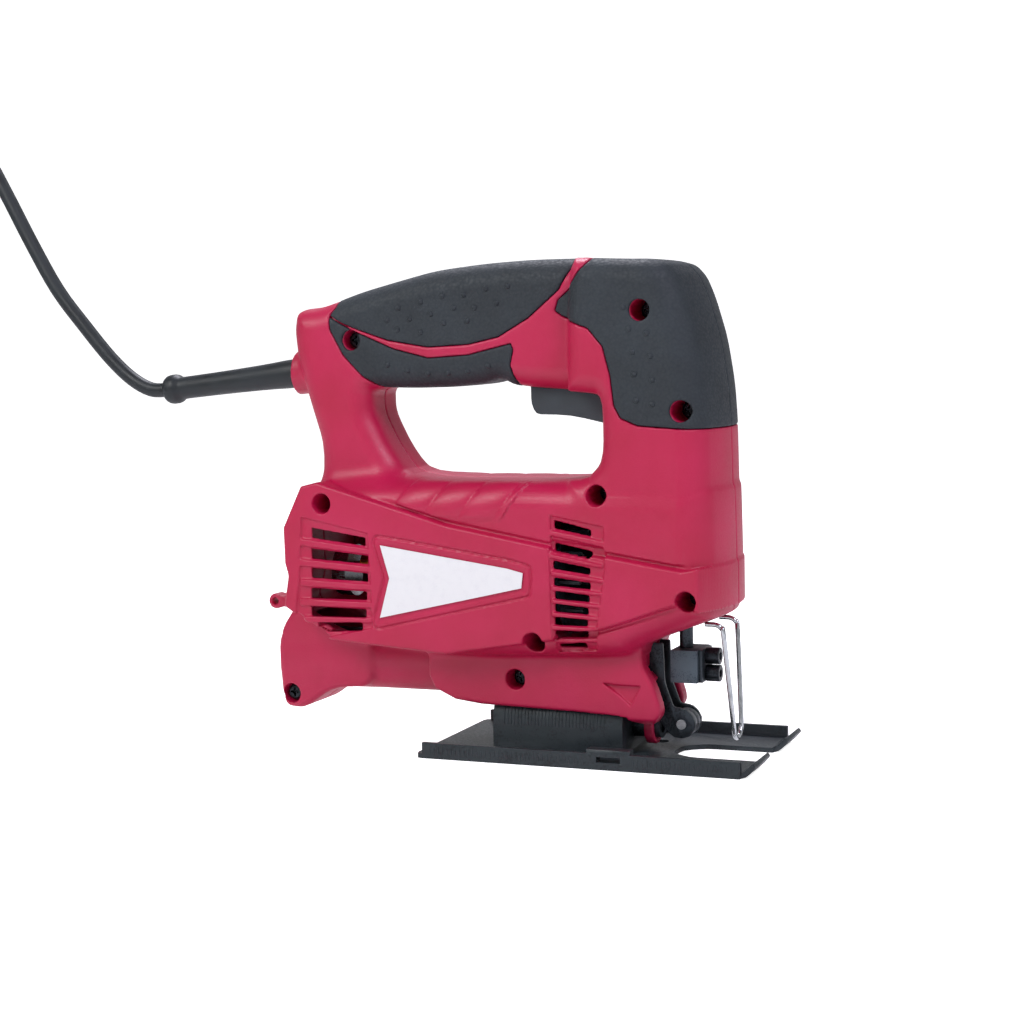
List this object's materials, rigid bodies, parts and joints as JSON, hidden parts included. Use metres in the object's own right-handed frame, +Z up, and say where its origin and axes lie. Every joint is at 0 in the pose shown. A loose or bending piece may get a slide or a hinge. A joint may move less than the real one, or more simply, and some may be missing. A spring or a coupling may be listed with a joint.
{
  "type": "corded jigsaw",
  "caption": "Corded D-handle jigsaw with a moulded clamshell body, rubber grips, a trigger, a screw-clamp blade holder, a backing roller, a wire guard and a tilting stamped shoe.",
  "frame": {"origin": "on the sole, at the middle of the saw's length and width", "axes": "+X towards the blade end, +Y to the left side, +Z up from the sole"},
  "size_m": [0.6012, 0.0955, 0.2882],
  "materials": {
    "red_abs": "fine moulded grain",
    "black_rubber": "coarse moulded grain",
    "label_foil": "satin film",
    "black_screw": "black phosphate",
    "die_cast": "as cast",
    "lamination_steel": "stacked sheet",
    "enamelled_copper": "enamelled wire",
    "commutator_copper": "turned",
    "shaft_steel": "ground",
    "black_plastic": "moulded",
    "carbon": "pressed graphite",
    "brass_sheet": "stamped",
    "gear_steel": "sintered and oiled",
    "bronze": "sintered",
    "dark_steel": "blackened",
    "block_steel": "milled",
    "shoe_coat": "black coating",
    "bright_wire": "drawn",
    "cord_rubber": "smooth sheath"
  },
  "bodies": {
    "casing": {"housing_right": "red_abs", "housing_left": "red_abs", "grip_upper_right": "black_rubber", "grip_upper_left": "black_rubber", "grip_lower_right": "black_rubber", "grip_lower_left": "black_rubber", "grip_front_right": "black_rubber", "grip_front_left": "black_rubber", "rating_label": "label_foil", "housing_screws": "black_screw", "gear_case": "die_cast", "motor_stator": "lamination_steel", "field_coils": "enamelled_copper", "front_bearing": "shaft_steel", "rear_bearing": "shaft_steel", "carbon_brushes": "carbon", "brush_holders": "brass_sheet", "brush_springs": "shaft_steel", "lower_bush": "bronze", "upper_bush": "bronze", "roller_fork": "dark_steel", "roller_pin": "shaft_steel", "wire_guard": "bright_wire", "pivot_bolt": "dark_steel", "pivot_sleeve": "dark_steel", "dust_duct": "black_plastic", "trigger_pin": "shaft_steel", "trigger_spring": "shaft_steel", "switch_body": "black_plastic", "lock_spring": "shaft_steel", "cord_clamp": "black_plastic", "cord_guard": "cord_rubber", "cord_lead": "cord_rubber", "cord_coil": "cord_rubber", "cord_tail": "cord_rubber", "plug": "cord_rubber"},
    "armature": {"armature_core": "lamination_steel", "armature_windings": "enamelled_copper", "armature_shaft": "shaft_steel", "commutator": "commutator_copper", "cooling_fan": "black_plastic", "pinion": "gear_steel"},
    "gear": {"drive_gear": "gear_steel", "gear_shaft": "shaft_steel", "crank_pin": "shaft_steel", "crank_roller": "shaft_steel"},
    "plunger": {"plunger_yoke": "gear_steel", "plunger_rod": "dark_steel", "clamp_block": "block_steel", "clamp_plate": "dark_steel", "clamp_screws": "black_screw"},
    "shoe": {"shoe": "shoe_coat"},
    "roller": {"guide_roller": "block_steel"},
    "trigger": {"trigger": "black_plastic"},
    "lock": {"lock_button": "black_plastic"},
    "key": {"hex_key": "block_steel"}
  },
  "joints": [
    {"name": "shoe_tilt", "type": "hinge", "parent": "casing", "child": "shoe", "pos_m": [0, 0, 0.0115], "axis": [1, 0, 0], "range_deg": [-45, 45]},
    {"name": "trigger_squeeze", "type": "hinge", "parent": "casing", "child": "trigger", "pos_m": [0.0415, 0, 0.1502], "axis": [0, 1, 0], "range_deg": [0, 6], "stiffness_Nm_per_rad": 2, "springref_deg": -2.86},
    {"name": "lock_press", "type": "slide", "parent": "casing", "child": "lock", "axis": [0, -1, 0], "range_m": [0, 0.003], "stiffness_N_per_m": 300, "springref_m": -0.001},
    {"name": "armature_spin", "type": "hinge", "parent": "casing", "child": "armature", "pos_m": [0, 0, 0.072], "axis": [1, 0, 0], "continuous": true},
    {"name": "gear_spin", "type": "hinge", "parent": "casing", "child": "gear", "pos_m": [0.059, 0, 0.1], "axis": [1, 0, 0], "continuous": true},
    {"name": "plunger_stroke", "type": "slide", "parent": "casing", "child": "plunger", "axis": [0, 0, 1], "range_m": [-0.01, 0.005]},
    {"name": "roller_spin", "type": "hinge", "parent": "casing", "child": "roller", "pos_m": [0.0735, 0, 0.0134], "axis": [0, 1, 0], "continuous": true},
    {"name": "key_pull", "type": "slide", "parent": "casing", "child": "key", "axis": [-1, 0, 0], "range_m": [0, 0.02]}
  ],
  "couplings": [
    {"joint": "armature_spin", "follows": "gear_spin", "ratio": -6}
  ]
}
